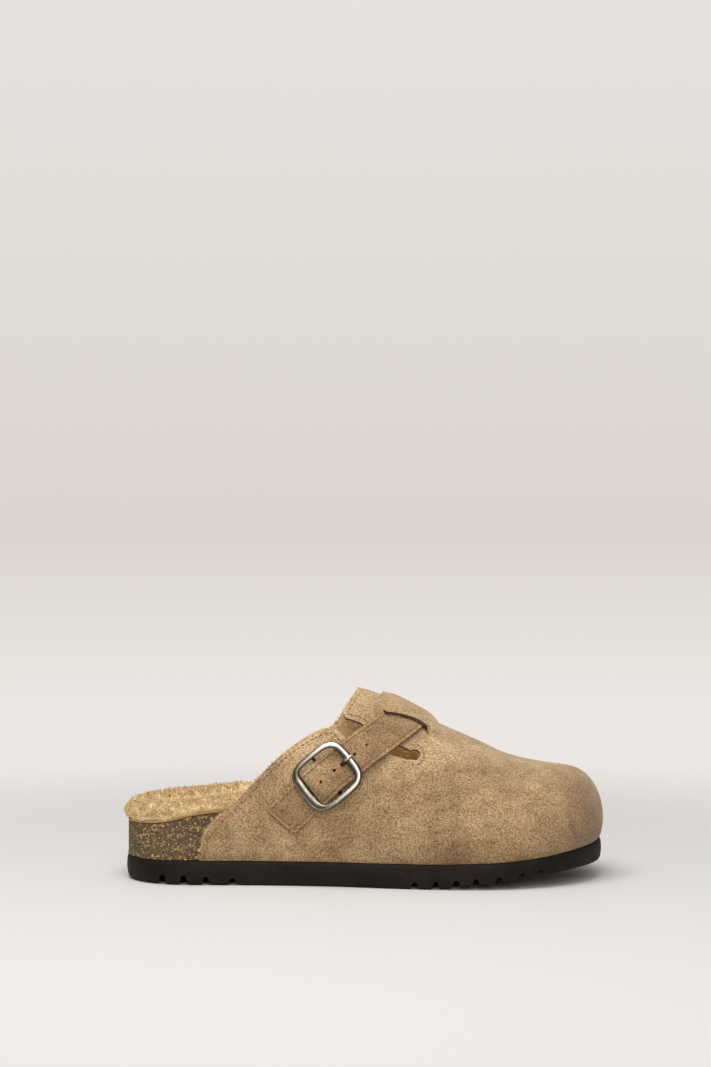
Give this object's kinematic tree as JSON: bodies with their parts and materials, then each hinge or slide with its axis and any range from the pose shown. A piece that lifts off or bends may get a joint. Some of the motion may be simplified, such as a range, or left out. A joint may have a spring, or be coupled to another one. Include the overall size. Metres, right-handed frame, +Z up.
{
  "type": "mule",
  "caption": "Right-foot suede mule with a cork footbed, fleece insole and one buckled strap over the instep, standing on a notched outsole.",
  "frame": {"origin": "flat tread under the middle of the heel, on the floor", "axes": "+X to the toe, +Z up, -Y to the outer side that carries the buckle"},
  "size_m": [0.2645, 0.1, 0.1034],
  "materials": {
    "outsole": "dark brown moulded foam rubber, satin",
    "cork": "pressed cork granules, sealed matt",
    "hide": "tan hide, cut edge",
    "fleece": "curly cream pile",
    "suede": "tan brown suede with a short nap",
    "buckle_metal": "aged silver with dark recesses"
  },
  "bodies": {
    "root": {"outsole": "outsole", "cork_footbed": "cork", "insole_hide": "hide", "fleece_insole": "fleece", "upper": "suede", "strap": "suede", "buckle_frame": "buckle_metal", "buckle_prong": "buckle_metal", "buckle_loop": "suede"}
  },
  "joints": []
}
